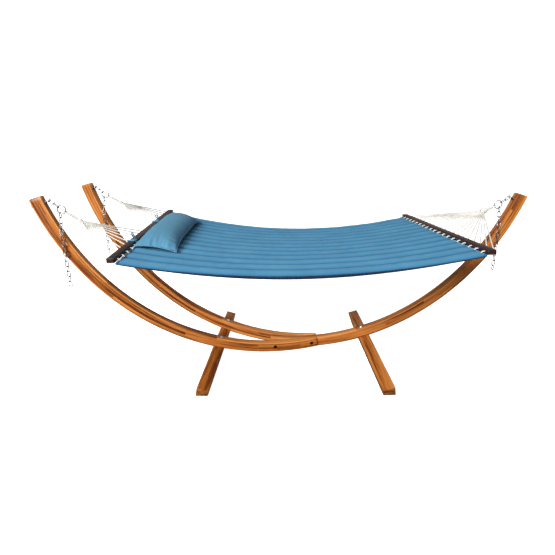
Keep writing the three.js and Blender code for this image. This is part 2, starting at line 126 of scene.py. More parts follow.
# Details of the cloth that part.mjs doesn't have
HEM_TO_HEM = 1.88
CLOTH_LENGTH = 1.90
TOP_SWELL = 0.0088
UNDER_SWELL = 0.0042
SEWN_LIFT = 0.0014
HEM_TAPER = 0.018
EDGE_TAPER = 0.008

PILLOW_NEAR = -0.415
PILLOW_FAR = 0.500
PILLOW_WIDTH = 0.240
PILLOW_FROM_HEM = 0.004
TIE_STATIONS = (-0.345, 0.210)
PILLOW_PIPING = 0.0034
TOP, UNDERSIDE = 0, 1

# The pillow's cloth simulation: how many steps, and how far a point may move
CLOTH_STEPS = 20
CLOTH_REACH = 0.024

TAU = 2 * pi


# ---- Materials ----
BOARD_LENGTH = 0.83
LAMELLA = ARM_DEPTH / 4
STRAND_PITCH = 0.0105
WEAVE = 0.0015


class Look:
    """A node material, with short ways to add nodes to it."""

    def __init__(self, name, roughness=0.5, metallic=0.0):
        self.material = bpy.data.materials.new(name)
        self.material.use_nodes = True
        self.tree = self.material.node_tree
        self.shader = self.tree.nodes["Principled BSDF"]
        self.set(Roughness=roughness, Metallic=metallic)

    def set(self, **values):
        for name, value in values.items():
            self.shader.inputs[name.replace("_", " ")].default_value = value

    def node(self, kind, inputs=(), **settings):
        made = self.tree.nodes.new("ShaderNode" + kind)
        for name, value in settings.items():
            setattr(made, name, value)
        for key, value in dict(inputs).items():
            if isinstance(value, bpy.types.NodeSocket):
                self.tree.links.new(value, made.inputs[key])
            else:
                made.inputs[key].default_value = value
        return made

    def math(self, operation, first, second=0.0):
        return self.node("Math", {0: first, 1: second}, operation=operation).outputs[0]

    def off_middle(self, value):
        """How far the fraction of a value is from a half."""
        fraction = self.math("FRACT", value)
        return self.math("ABSOLUTE", self.math("SUBTRACT", fraction, 0.5))

    def plus(self, first, second):
        return self.math("ADD", first, second)

    def times(self, first, second):
        return self.math("MULTIPLY", first, second)

    def lay(self):
        """How cloth or cord lies: the map that Shape gives each face."""
        return self.node("UVMap", uv_map="lay").outputs[0]

    def scaled(self, vector, scale):
        return self.node("Mapping", {"Vector": vector, "Scale": scale}).outputs[0]

    def noise(self, vector, scale, detail=3.0, roughness=0.55):
        settings = {"Vector": vector, "Scale": scale, "Detail": detail, "Roughness": roughness}
        return self.node("TexNoise", settings).outputs["Fac"]

    def ramp(self, factor, stops):
        made = self.node("ValToRGB", {"Fac": factor})
        elements = made.color_ramp.elements
        while len(elements) < len(stops):
            elements.new(0.5)
        for element, (position, color) in zip(elements, stops):
            element.position = position
            element.color = (*color, 1)
        return made.outputs["Color"]

    def mix(self, kind, factor, first, second):
        inputs = {"Factor": factor, 6: first, 7: second}
        return self.node("Mix", inputs, data_type="RGBA", blend_type=kind).outputs[2]

    def bump(self, height, strength, distance):
        made = self.node("Bump", {"Height": height, "Strength": strength, "Distance": distance})
        self.tree.links.new(made.outputs[0], self.shader.inputs["Normal"])

    def feed(self, name, socket):
        self.tree.links.new(socket, self.shader.inputs[name])


def timber_look(name, dark, middle, light, lamella, gloss, seam_strength=0.55):
    """Stained timber: streaked grain along its length, in glued lamellae of one thickness.

    The grain's map runs along the piece from the end that shows, which is darker.
    """
    look = Look(name)
    grain = look.node("Attribute", attribute_name="grain").outputs["Vector"]
    along, _, depth = look.node("SeparateXYZ", {0: grain}).outputs
    # Half a layer more puts the middle of one at no depth, and 50 keeps the count positive.
    layer = look.plus(look.math("DIVIDE", depth, lamella), 50.5)
    index = look.math("FLOOR", layer)
    stagger = look.times(index, 0.37)
    board = look.math("FLOOR", look.plus(look.math("DIVIDE", along, BOARD_LENGTH), stagger))
    seed = look.node("CombineXYZ", {0: board, 1: index, 2: 0.0}).outputs[0]
    tone = look.node("TexWhiteNoise", {"Vector": seed}, noise_dimensions="3D").outputs["Value"]
    offset = look.node("VectorMath", {0: grain, 1: seed}, operation="ADD").outputs[0]
    bands = look.noise(look.scaled(offset, (1.1, 26, 34)), 1.0, 4.0, 0.62)
    fine = look.noise(look.scaled(offset, (9, 260, 300)), 1.0, 4.0, 0.7)
    streak = look.plus(look.times(bands, 0.72), look.times(fine, 0.28))
    streak = look.plus(streak, look.times(look.math("SUBTRACT", tone, 0.5), 0.09))
    color = look.ramp(streak, [(0.4, dark), (0.49, middle), (0.63, light)])
    seam = look.math("GREATER_THAN", look.off_middle(layer), 0.472)
    darker = look.mix("MULTIPLY", 1.0, color, (0.45, 0.36, 0.3, 1))
    color = look.mix("MIX", look.times(seam, seam_strength), color, darker)
    end_grain = look.math("LESS_THAN", look.math("ABSOLUTE", along), 0.0015)
    color = look.mix("MIX", look.times(end_grain, 0.8), color, darker)
    look.feed("Base Color", color)
    worn = look.noise(look.scaled(grain, (5, 30, 30)), 1.0)
    look.feed("Roughness", look.plus(look.times(worn, 0.3), gloss))
    height = look.math("SUBTRACT", fine, look.times(seam, 0.8))
    look.bump(height, 0.35, 0.0006)
    look.set(Specular_IOR_Level=0.3)
    return look.material


def steel_look(name, hollow, plate):
    """Plated steel, slightly dull, with faint spangle and darker patches."""
    look = Look(name, metallic=1.0)
    place = look.node("TexCoord").outputs["Object"]
    cloud = look.noise(place, 60, 3.0)
    spangle = look.node("TexVoronoi", {"Vector": place, "Scale": 260}).outputs["Distance"]
    tone = look.plus(look.times(cloud, 0.6), look.times(spangle, 0.5))
    look.feed("Base Color", look.ramp(tone, [(0.25, hollow), (0.75, plate)]))
    look.feed("Roughness", look.plus(look.times(cloud, 0.3), 0.22))
    look.bump(spangle, 0.15, 0.0003)
    return look.material


def rope_look():
    """Three-strand cord. Its map runs once round it and, in metres, along it."""
    look = Look("laid_cord", roughness=0.85)
    around, along, _ = look.node("SeparateXYZ", {0: look.lay()}).outputs
    turns = look.plus(look.times(around, 3.0), look.math("DIVIDE", along, STRAND_PITCH))
    strand = look.math("ABSOLUTE", look.math("SINE", look.times(turns, pi)))
    place = look.node("TexCoord").outputs["Object"]
    fuzz = look.noise(place, 900, 3.0)
    stain = look.noise(place, 14, 2.0)
    # Painted shade between the strands: the cord is darkest in the grooves and lightest on each
    # strand's crown.
    shaded_groove, half_shaded_flank, crown = (0.36, 0.35, 0.33), (0.58, 0.575, 0.55), (0.68, 0.675, 0.65)
    color = look.ramp(strand, [(0.0, shaded_groove), (0.45, half_shaded_flank), (1.0, crown)])
    tint = look.ramp(stain, [(0.35, (0.93, 0.9, 0.84)), (0.65, (1, 1, 1))])
    look.feed("Base Color", look.mix("MULTIPLY", 1.0, color, tint))
    look.bump(look.plus(strand, look.times(fuzz, 0.25)), 0.8, 0.0012)
    look.set(Specular_IOR_Level=0.15)
    return look.material


def fabric_look(name, base, deep, channel=None):
    """Woven polyester. Its map is in metres, so the weave follows the cloth.

    channel is the distance between the lines of quilting, beside which painted shade darkens the
    cloth.
    """
    look = Look(name, roughness=0.88)
    cloth = look.lay()
    along, across, _ = look.node("SeparateXYZ", {0: cloth}).outputs
    warp, weft = (look.math("SINE", look.times(way, TAU / WEAVE)) for way in (along, across))
    weave = look.plus(look.times(look.times(warp, weft), 0.5), 0.5)
    place = look.node("TexCoord").outputs["Object"]
    cloud = look.noise(place, 5, 4.0)
    slub = look.noise(look.scaled(cloth, (14, 700, 1)), 1.0, 2.0)
    tone = look.plus(look.times(cloud, 0.7), look.times(slub, 0.3))
    color = look.ramp(tone, [(0.3, deep), (0.7, base)])
    dull = look.mix("MULTIPLY", 1.0, color, (0.86, 0.88, 0.9, 1))
    color = look.mix("MIX", look.times(weave, 0.6), dull, color)
    if channel:
        # Painted shade in the stitched valleys: darkest at each quilting line, full colour on the
        # crown between.
        position = look.math("DIVIDE", across, channel)
        from_line = look.math("SUBTRACT", 0.5, look.off_middle(position))
        stitch_shade, slope_shade, crown = (0.3, 0.43, 0.56), (0.68, 0.8, 0.88), (1, 1, 1)
        painted_valley_shade = look.ramp(from_line, [(0.0, stitch_shade), (0.13, slope_shade), (0.34, crown)])
        color = look.mix("MULTIPLY", 1.0, color, painted_valley_shade)
    look.feed("Base Color", color)
    crease = look.noise(place, 34, 3.0)
    look.bump(look.plus(look.times(weave, 0.3), crease), 0.3, 0.001)
    look.set(Specular_IOR_Level=0.15, Sheen_Weight=0.03, Sheen_Roughness=0.4)
    return look.material


STAIN = ((0.088, 0.018, 0.002), (0.335, 0.1, 0.0145), (0.56, 0.218, 0.052))
DARK_STAIN = ((0.005, 0.002, 0.002), (0.022, 0.008, 0.006), (0.06, 0.022, 0.016))
BLUE = ((0.074, 0.248, 0.385), (0.054, 0.192, 0.32))
PILLOW_BLUE = ((0.083, 0.226, 0.335), (0.058, 0.172, 0.268))
# The next colour is painted shade: near-black blue for the bed's underside, the binding under its
# edges and the pillow's underside, standing in for the shade beneath them.
SHADE_NAVY = ((0.012, 0.022, 0.05), (0.006, 0.012, 0.03))


def steel(name, hollow, plate):
    return [steel_look(name, hollow, plate)], "galvanised_steel"


# Each look is its materials, outer face first, and its slot in the record.
TIMBER = ([timber_look("oiled_larch", *STAIN, LAMELLA, 0.3)], "stained_timber")
DARK_TIMBER = ([timber_look("black_stain", *DARK_STAIN, 0.2, 0.25, 0.0)], "dark_timber")
STEEL = steel("zinc_plate", (0.1, 0.11, 0.125), (0.34, 0.36, 0.39))
BRIGHT_STEEL = steel("bright_zinc", (0.45, 0.46, 0.48), (0.86, 0.87, 0.89))
BLACK_STEEL = steel("black_zinc", (0.015, 0.014, 0.013), (0.06, 0.05, 0.045))
ROPE = ([rope_look()], "rope")
# Navy cloth: painted shade for the undersides and the edge binding.
shade_navy = fabric_look("shade_navy_cloth", *SHADE_NAVY)
quilting = fabric_look("blue_quilting", *BLUE, channel=2 * BED_HALF_WIDTH / CHANNELS)
QUILT = ([quilting, shade_navy], "quilted_fabric")
SHADE_BINDING = ([shade_navy], "quilted_fabric")
blue_pillow = fabric_look("blue_pillow", *PILLOW_BLUE)
PILLOW_CLOTH = ([blue_pillow, shade_navy], "pillow_fabric")
PIPING = ([blue_pillow], "pillow_fabric")


# ---- Camera, light and floor ----
CAMERA_PLACE = (-0.045, -2.568, 1.4955)
CAMERA_PITCH = 0.3554
CAMERA_YAW = -0.0198
CAMERA_ROLL = -0.0164
CAMERA_LENS = 25.44
SENSOR_WIDTH = 36

LIGHT_TARGET = (0, 0, 0.6)
GLOOM_BELOW = 0.08
SKY_ABOVE = 0.34
HORIZON_BLUR = 0.25

FLOOR_HALF = 14.0
SWEEP_START = 6.0
SWEEP_RADIUS = 3.0
WALL_TOP = 12.0


def add_object(name, data):
    made = bpy.data.objects.new(name, data)
    scene.collection.objects.link(made)
    return made


def aim_camera():
    data = bpy.data.cameras.new("camera")
    data.lens = CAMERA_LENS
    data.sensor_width = SENSOR_WIDTH
    camera = add_object("camera", data)
    sine, cosine = sin(CAMERA_YAW), cos(CAMERA_YAW)
    level = cos(CAMERA_PITCH)
    forward = Vector((sine * level, cosine * level, -sin(CAMERA_PITCH)))
    right = Vector((cosine, -sine, 0))
    # A camera looks down its own -Z.
    level_camera = Matrix((right, right.cross(forward), -forward)).transposed().to_4x4()
    turn = level_camera @ Matrix.Rotation(CAMERA_ROLL, 4, "Z")
    camera.matrix_world = Matrix.Translation(CAMERA_PLACE) @ turn
    bpy.context.scene.camera = camera


def area_light(name, place, size, power, color=(1, 1, 1)):
    data = bpy.data.lights.new(name, "AREA")
    data.shape = "DISK"
    data.size = size
    data.energy = power
    data.color = color
    light = add_object(name, data)
    light.visible_camera = False
    light.location = place
    toward = Vector(LIGHT_TARGET) - Vector(place)
    light.rotation_euler = toward.to_track_quat("-Z", "Y").to_euler()


def lay_floor():
    """A white floor that sweeps up into a wall behind. It casts no light on the object."""
    steps = 16
    rows = [(-FLOOR_HALF, 0.0), (SWEEP_START, 0.0)]
    for i in range(1, steps + 1):
        angle = radians(90) * i / steps
        y = SWEEP_START + SWEEP_RADIUS * sin(angle)
        rows.append((y, SWEEP_RADIUS * (1 - cos(angle))))
    rows.append((SWEEP_START + SWEEP_RADIUS, WALL_TOP))
    verts = [(x, y, z) for y, z in rows for x in (-FLOOR_HALF, FLOOR_HALF)]
    faces = [(2 * i, 2 * i + 1, 2 * i + 3, 2 * i + 2) for i in range(len(rows) - 1)]
    mesh = bpy.data.meshes.new("floor")
    mesh.from_pydata(verts, [], faces)
    for polygon in mesh.polygons:
        polygon.use_smooth = True
    floor = add_object("floor", mesh)
    look = Look("floor", roughness=1.0)
    look.set(Base_Color=(0.9, 0.9, 0.9, 1), Specular_IOR_Level=0.0)
    look.set(Emission_Color=(1, 1, 1, 1), Emission_Strength=1.0)
    mesh.materials.append(look.material)
    floor.visible_diffuse = False
    floor.visible_glossy = False


def light_scene():
    """A soft sky, dim below the horizon, with a broad light at the front left."""
    world = bpy.data.worlds.new("studio")
    world.use_nodes = True
    scene.world = world
    nodes, links = world.node_tree.nodes, world.node_tree.links
    heading = nodes.new("ShaderNodeTexCoord").outputs["Generated"]
    split = nodes.new("ShaderNodeSeparateXYZ")
    links.new(heading, split.inputs[0])
    rise = nodes.new("ShaderNodeMapRange")
    for name, value in (
        ("From Min", -HORIZON_BLUR),
        ("From Max", HORIZON_BLUR),
        ("To Min", GLOOM_BELOW),
        ("To Max", SKY_ABOVE),
    ):
        rise.inputs[name].default_value = value
    links.new(split.outputs["Z"], rise.inputs["Value"])
    links.new(rise.outputs[0], nodes["Background"].inputs["Strength"])
    nodes["Background"].inputs["Color"].default_value = (1, 1, 1, 1)
    area_light("key", (-3.7, -8.0, 5.6), 3.9, 1850, (1, 0.985, 0.96))
    area_light("top", (-0.8, 0.6, 4.6), 2.6, 40)
    scene.view_settings.view_transform = "Standard"


aim_camera()
light_scene()
lay_floor()


# ---- Mesh building ----
def round_rim(sides, flatten=1.0):
    """The corners of a round profile, its second way stretched by flatten."""
    turns = [TAU * k / sides for k in range(sides)]
    return [(cos(turn), flatten * sin(turn)) for turn in turns]


class Shape:
    """Vertices, faces and a per-corner map, gathered piece by piece into one mesh."""

    def __init__(self):
        self.verts = []
        self.faces = []
        self.maps = []
        self.kinds = []

    def add(self, verts, faces, maps=None, kinds=None):
        base = len(self.verts)
        self.verts += [tuple(v) for v in verts]
        for i, face in enumerate(faces):
            self.faces.append([base + k for k in face])
            self.maps.append(maps[i] if maps else [(0.0, 0.0)] * len(face))
            self.kinds.append(kinds[i] if kinds else 0)

    def sweep(self, points, radius, sides=10, closed=False, profile=None):
        """A tube along the points. radius may be one number or one for each point."""
        points = [Vector(p) for p in points]
        count = len(points)
        radii = radius if hasattr(radius, "__len__") else [radius] * count
        rim = profile or round_rim(sides)
        sides = len(rim)
        tangents = []
        for i in range(count):
            ahead = points[(i + 1) % count] if closed or i + 1 < count else points[i]
            behind = points[i - 1] if closed or i > 0 else points[i]
            tangents.append((ahead - behind).normalized())
        across = tangents[0].cross(Vector((0.31, 0.2, 0.93))).normalized()
        frames = []
        for i, tangent in enumerate(tangents):
            if i > 0:
                across = tangents[i - 1].rotation_difference(tangent) @ across
            across = (across - tangent * across.dot(tangent)).normalized()
            frames.append((across.copy(), tangent.cross(across)))
        if closed:
            back = tangents[-1].rotation_difference(tangents[0]) @ frames[-1][0]
            slip = atan2(back.dot(frames[0][1]), back.dot(frames[0][0]))
            for i, (first, second) in enumerate(frames):
                turn = -slip * i / count
                frames[i] = (
                    first * cos(turn) + second * sin(turn),
                    second * cos(turn) - first * sin(turn),
                )
        verts = []
        for point, (first, second), size in zip(points, frames, radii):
            verts += [point + (first * a + second * b) * size for a, b in rim]
        spans = count if closed else count - 1
        length = [0.0]
        for i in range(spans):
            length.append(length[-1] + (points[(i + 1) % count] - points[i]).length)
        faces, maps = [], []
        for i in range(spans):
            low, high = i * sides, ((i + 1) % count) * sides
            for k in range(sides):
                nxt = (k + 1) % sides
                faces.append([low + k, low + nxt, high + nxt, high + k])
                left, right = k / sides, (k + 1) / sides
                here, there = length[i], length[i + 1]
                maps.append([(left, here), (right, here), (right, there), (left, there)])
        if not closed:
            for ring, flip in ((0, True), ((count - 1) * sides, False)):
                cap = [ring + k for k in range(sides)]
                faces.append(cap[::-1] if flip else cap)
                maps.append([(0.0, 0.0)] * sides)
        self.add(verts, faces, maps)

    def lathe(self, profile, place, sides=24, spin=0.0):
        """A body turned about its own Z from (radius, height) points, put where place says."""
        rings = []
        verts = []
        for radius, height in profile:
            if radius < 1e-6:
                rings.append([len(verts)])
                verts.append(place @ Vector((0, 0, height)))
            else:
                rings.append(list(range(len(verts), len(verts) + sides)))
                for k in range(sides):
                    angle = TAU * k / sides + spin
                    corner = Vector((radius * cos(angle), radius * sin(angle), height))
                    verts.append(place @ corner)
        faces = []
        pairs = list(zip(rings, rings[1:]))
        if len(rings[0]) > 1:
            pairs.append((rings[-1], rings[0]))
        for low, high in pairs:
            for k in range(sides):
                nxt = (k + 1) % sides
                if len(low) == 1:
                    faces.append([low[0], high[nxt], high[k]][::-1])
                elif len(high) == 1:
                    faces.append([low[k], low[nxt], high[0]])
                else:
                    faces.append([low[k], low[nxt], high[nxt], high[k]])
        self.add(verts, faces)

    def rod(self, place, radius, length, sides=24):
        self.lathe([(0, 0), (radius, 0), (radius, length), (0, length)], place, sides)

    def washer(self, place, hole, radius, low, high, chamfer, sides=32):
        """A washer from low to high on its axis. chamfer is across, then along."""
        shoulder = (radius, high - chamfer[1])
        rim = (radius - chamfer[0], high)
        self.lathe([(hole, low), (radius, low), shoulder, rim, (hole, high)], place, sides)

    def hexagon(self, place, radius, height, dome, spin=0.0):
        """A bolt's hexagonal head, with a low dome."""
        corner = (radius, height * 0.7)
        top = [(radius * 0.86, height), (radius * 0.4, height + dome), (0, height + dome)]
        self.lathe([(0, 0), (radius, 0), corner, *top], place, 6, spin)

    def mesh(self, name, crease_degrees=40):
        mesh = bpy.data.meshes.new(name)
        mesh.from_pydata(self.verts, [], self.faces)
        layer = mesh.uv_layers.new(name="lay")
        flat = [value for face in self.maps for corner in face for value in corner]
        layer.data.foreach_set("uv", flat)
        mesh.polygons.foreach_set("material_index", self.kinds)
        work = bmesh.new()
        work.from_mesh(mesh)
        bmesh.ops.recalc_face_normals(work, faces=work.faces)
        work.to_mesh(mesh)
        work.free()
        smooth_by_angle(mesh, crease_degrees)
        return mesh


def smooth_by_angle(mesh, degrees):
    for polygon in mesh.polygons:
        polygon.use_smooth = True
    mesh.set_sharp_from_angle(angle=radians(degrees))


def piece(name, mesh, look, body, replaced=()):
    """Puts a finished mesh in the scene on its body, with its look."""
    materials, slot = look
    made = add_object(name, mesh)
    kinds = [polygon.material_index for polygon in mesh.polygons]
    mesh.materials.clear()
    for material in materials:
        mesh.materials.append(material)
    mesh.polygons.foreach_set("material_index", kinds)
    if body:
        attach(made, body)
    if replaced:
        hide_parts(*replaced)
    return made


def cut(mesh, cutters):
    """The mesh with each of the cutter shapes taken out of it."""
    target = add_object("cut_target", mesh)
    tools = []
    for shape in cutters:
        tool = add_object("cut_tool", shape.mesh("cut_tool"))
        tools.append(tool)
        modifier = target.modifiers.new("cut", "BOOLEAN")
        modifier.operation = "DIFFERENCE"
        modifier.solver = "EXACT"
        modifier.object = tool
    bpy.context.view_layer.update()
    depsgraph = bpy.context.evaluated_depsgraph_get()
    result = bpy.data.meshes.new_from_object(target.evaluated_get(depsgraph))
    for made in [target, *tools]:
        bpy.data.objects.remove(made)
    return result


def rounded_block(name, corner, rounding, segments):
    """A block with rounded edges. corner gives the place of each corner of a unit cube."""
    work = bmesh.new()
    bmesh.ops.create_cube(work, size=1)
    for vert in work.verts:
        vert.co = corner(vert.co)
    form = {"offset": rounding, "segments": segments, "profile": 0.5}
    bmesh.ops.bevel(work, geom=work.edges[:], affect="EDGES", **form)
    mesh = bpy.data.meshes.new(name)
    work.to_mesh(mesh)
    work.free()
    return mesh


def set_grain(mesh, locate):
    """Stores where each point lies in its timber: along, across and in depth."""
    attribute = mesh.attributes.new("grain", "FLOAT_VECTOR", "POINT")
    values = np.array([locate(v.co) for v in mesh.vertices], dtype=np.float32)
    attribute.data.foreach_set("vector", values.ravel())


# ---- Stand ----
class Arm:
    """One arm of the stand. Its frame has the arc's lowest point at x = 0."""

    def __init__(self, name, x, y, turn, start, tip, planed):
        self.name = name
        self.frame = Matrix.Translation((x, y, 0)) @ Matrix.Rotation(turn, 4, "Z")
        self.start = start
        self.tip = tip
        self.planed = planed
        self.inverse = self.frame.inverted()
        self.eye_angle = tip - EYE_FROM_TIP

    def point(self, angle, radius, across=0.0):
        height = ARC_HEIGHT - radius * cos(angle)
        return self.frame @ Vector((radius * sin(angle), across, height))

    def seat(self, angle):
        """The middle of the inner face at an angle, and the way out of the wood there."""
        middle = self.point(angle, INNER_RADIUS)
        return middle, (self.point(angle, INNER_RADIUS - 0.01) - middle).normalized()

    def across_limit(self, side, angle, radius):
        """How far the arm reaches to one side, less where it is planed at the joint."""
        half = side * ARM_WIDTH / 2
        if self.planed == 0:
            return half
        at_middle = self.point(angle, radius).y
        per_metre = self.point(angle, radius, 1.0).y - at_middle
        limit = (self.planed * PLANED_FACE - at_middle) / per_metre
        if side * per_metre * self.planed < 0:
            return side * min(ARM_WIDTH / 2, side * limit)
        return half

    def band(self, grow=0.0, rounding=EDGE_ROUNDING, stations=96):
        """The arm's solid, with its long edges and its ends rounded."""
        shape = Shape()
        profile = []
        turns = [radians(90) * k / 3 for k in range(4)] if rounding else [0]
        for side, end in ((1, 1), (-1, 1), (-1, -1), (1, -1)):
            for turn in turns:
                if side * end < 0:
                    turn = radians(90) - turn
                inset_across = rounding * (1 - cos(turn))
                inset_depth = rounding * (1 - sin(turn))
                depth = end * (ARM_DEPTH / 2 + grow - inset_depth)
                profile.append((side, inset_across - grow, depth))
        angles = [self.start + (self.tip - self.start) * i / stations for i in range(stations + 1)]
        rows = [(angles[0] - grow / ARM_RADIUS, rounding)]
        if rounding:
            rows += [(angles[0] + rounding / ARM_RADIUS, 0.0)]
        rows += [(angle, 0.0) for angle in angles[1:-1]]
        if rounding:
            rows += [(angles[-1] - rounding / ARM_RADIUS, 0.0)]
        rows += [(angles[-1] + grow / ARM_RADIUS, rounding)]
        verts = []
        for angle, shrink in rows:
            for side, inset, depth in profile:
                pulled = depth - copysign(shrink, depth)
                radius = ARM_RADIUS - pulled
                across = self.across_limit(side, angle, radius) - side * (inset + shrink)
                verts.append(self.point(angle, radius, across))
        size = len(profile)
        faces = []
        for i in range(len(rows) - 1):
            for k in range(size):
                nxt = (k + 1) % size
                low, high = i * size, (i + 1) * size
                faces.append([low + k, low + nxt, high + nxt, high + k])
        faces.append(list(range(size)))
        faces.append([(len(rows) - 1) * size + k for k in range(size)])
        shape.add(verts, faces)
        return shape

    def locate(self, point):
        """Where a point lies in the timber. Each arm has its own grain across."""
        local = self.inverse @ Vector(point)
        up = ARC_HEIGHT - local.z
        from_tip = ARM_RADIUS * (self.tip - atan2(local.x, up))
        across = local.y + 3 * self.frame.translation.y
        return (from_tip, across, ARM_RADIUS - hypot(local.x, up))


twin_y = JOINT_HALF_WIDTH + (JOINT_RIGHT - TWIN_LOWEST_X) * tan(SPLAY)
twin_start = -asin((JOINT_RIGHT - TWIN_LOWEST_X) / cos(SPLAY) / ARM_RADIUS)
single_start = asin((JOINT_LEFT - SINGLE_LOWEST_X) / ARM_RADIUS)
NEAR_ARM = Arm("near_left", TWIN_LOWEST_X, -twin_y, pi + SPLAY, twin_start, TWIN_TIP, -1)
FAR_ARM = Arm("far_left", TWIN_LOWEST_X, twin_y, pi - SPLAY, twin_start, TWIN_TIP, 1)
SINGLE_ARM = Arm("right", SINGLE_LOWEST_X, 0, 0, single_start, SINGLE_TIP, 0)
ARMS = (NEAR_ARM, FAR_ARM, SINGLE_ARM)


def outer_face_y(x):
    """How far out the twin arms' outer faces are."""
    middle = JOINT_HALF_WIDTH + (JOINT_RIGHT - x) * tan(SPLAY)
    return middle + ARM_WIDTH / 2 / cos(SPLAY)


def build_arms():
    for arm in ARMS:
        mesh = arm.band().mesh(arm.name + "_timber", 50)
        if arm.planed:
            recesses = []
            for x, z in BOLT_STATIONS:
                seat = Vector((x, arm.planed * (outer_face_y(x) - RECESS_DEPTH), z))
                outward = Matrix.Rotation(-arm.planed * radians(90), 4, "X")
                recess = Shape()
                recess.rod(Matrix.Translation(seat) @ outward, RECESS_RADIUS, 0.06, 32)
                recesses.append(recess)
            mesh = cut(mesh, recesses)
            smooth_by_angle(mesh, 50)
        set_grain(mesh, arm.locate)
        piece(arm.name + "_timber", mesh, TIMBER, "base", [arm.name + "_arm"])


def build_foot(name, x, outward, arms):
    """A beam rolled outwards, flat underneath, seated under the arms."""
    def corner(spot):
        across = spot.x * FOOT_WIDTH
        side = across * cos(FOOT_ROLL)
        top = FOOT_HEIGHT + across * outward * sin(FOOT_ROLL)
        if spot.z > 0:
            return Vector((side, spot.y * FOOT_LENGTH, top))
        end = copysign(FOOT_LENGTH / 2 - FOOT_UNDERCUT, spot.y)
        return Vector((side + outward * top * tan(FOOT_ROLL), end, 0))

    place = Matrix.Translation((x, FOOT_Y, 0)) @ Matrix.Rotation(outward * FOOT_TOE_IN, 4, "Z")
    mesh = rounded_block(name, corner, EDGE_ROUNDING, 3)
    mesh.transform(place)
    mesh = cut(mesh, [arm.band(grow=0.0006, rounding=0.0, stations=60) for arm in arms])
    smooth_by_angle(mesh, 40)
    unroll = Matrix.Rotation(outward * FOOT_ROLL, 4, "Y") @ place.inverted()

    def locate(point):
        """Far along the grain, so no end shows darker, and different for each foot."""
        local = unroll @ Vector(point)
        return (local.y + 5 + 2 * outward, local.x + 0.31 * outward, local.z)

    set_grain(mesh, locate)
    piece(name + "_timber", mesh, TIMBER, "base", [name])


def upright(origin, axis):
    """A frame at origin with its Z along axis."""
    turn = Vector((0, 0, 1)).rotation_difference(axis)
    return Matrix.Translation(origin) @ turn.to_matrix().to_4x4()


def box_middle(node):
    low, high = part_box(node)
    return (low + high) / 2


def fitting(arm, suffix, shape, crease, *nodes, look=STEEL):
    """A piece of an arm's hardware, for nodes of the same arm."""
    made = shape.mesh(arm.name + suffix, crease)
    piece(arm.name + suffix, made, look, "base", [arm.name + node for node in nodes])


def build_fasteners():
    """Foot screws, and the joint's bolts and nuts."""
    for arm in ARMS:
        local = arm.inverse @ box_middle(arm.name + "_foot_washer")
        top, up = arm.seat(atan2(local.x, ARC_HEIGHT - local.z))
        shape = Shape()
        shape.washer(upright(top, up), 0.0052, 0.014, GAP, 0.0027, (0.0005, 0.0005))
        shape.hexagon(upright(top + up * 0.0031, up), 0.009, 0.0055, 0.0014)
        nodes = ("_foot_screw", "_foot_washer")
        fitting(arm, "_foot_fastener", shape, 25, *nodes, look=BRIGHT_STEEL)

    for i, (x, z) in enumerate(BOLT_STATIONS):
        seat = outer_face_y(x) - RECESS_DEPTH
        for side, node in ((-1, "joint_bolt_"), (1, "joint_nut_")):
            shape = Shape()
            axis = Vector((0, side, 0))
            washer = upright(Vector((x, side * (seat + GAP), z)), axis)
            shape.rod(washer, 0.0125, 0.0012, 32)
            head = upright(Vector((x, side * (seat + 0.0016), z)), axis)
            shape.hexagon(head, 0.0095, 0.0048, 0.0006, spin=0.4 + i)
            if side < 0:
                shank = upright(Vector((x, side * seat, z)), -axis)
                shape.rod(shank, 0.005, 2 * seat - 0.002)
            number = str(i + 1)
            made = shape.mesh("joint", 25)
            piece(node + "head_" + number, made, BLACK_STEEL, "base", [node + number])


def circle(centre, first, second, radius, count=40):
    return [centre + radius * (c * first + s * second) for c, s in round_rim(count)]


def build_eye_bolts():
    for arm in ARMS:
        seat, inward = arm.seat(arm.eye_angle)
        lateral = (arm.point(arm.eye_angle, INNER_RADIUS, 0.01) - seat).normalized()
        place = upright(seat, inward)
        shape = Shape()
        eye = circle(seat + inward * EYE_HEIGHT, inward, lateral, EYE_RADIUS)
        shape.sweep(eye, EYE_WIRE, 14, closed=True)
        neck = [(0, 0.003), (0.0075, 0.003), (0.0075, 0.0062), (0.0045, 0.0085), (0, 0.0085)]
        shape.lathe(neck, place, 24)
        end = -ARM_DEPTH - 0.0105
        shape.lathe([(0, end), (0.0038, end), (0.004, 0.003), (0, 0.003)], place, 20)
        fitting(arm, "_eye", shape, 35, "_eye_bolt")

        shape = Shape()
        shape.washer(place, 0.0043, 0.012, GAP, 0.0028, (0.0005, 0.0004))
        fitting(arm, "_eye_collar", shape, 25, "_eye_washer")

        back = upright(seat - inward * (ARM_DEPTH + GAP), -inward)
        shape = Shape()
        shape.washer(back, 0.0043, 0.012, 0, 0.0026, (0.0005, 0.0004))
        shape.washer(back, 0.0043, 0.008, 0.0027, 0.0096, (0.0008, 0.0016), 6)
        fitting(arm, "_eye_back", shape, 25, "_eye_nut")


# ---- Chains and rings ----
def link_path(centre, down, flat):
    """The centreline of one oblong link, long along down and square to flat."""
    across = flat.cross(down)
    bend = LINK_WIDTH / 2
    straight = LINK_LENGTH / 2 - bend
    path = []
    for end in (1, -1):
        for k in range(11):
            turn = pi * k / 10
            along = end * (straight + bend * sin(turn))
            path.append(centre + across * (end * bend * cos(turn)) + down * along)
    return path


def add_chain(shape, start, directions, first_normal):
    """Links from start on, each along its own direction and a quarter turn from the last."""
    end = Vector(start)
    for i, down in enumerate(directions):
        side = down.cross(first_normal).normalized()
        flat = side.cross(down) if i % 2 == 0 else side
        link = link_path(end + down * LINK_LENGTH / 2, down, flat)
        shape.sweep(link, LINK_WIRE * 0.97, 10, closed=True)
        end = end + down * LINK_PITCH


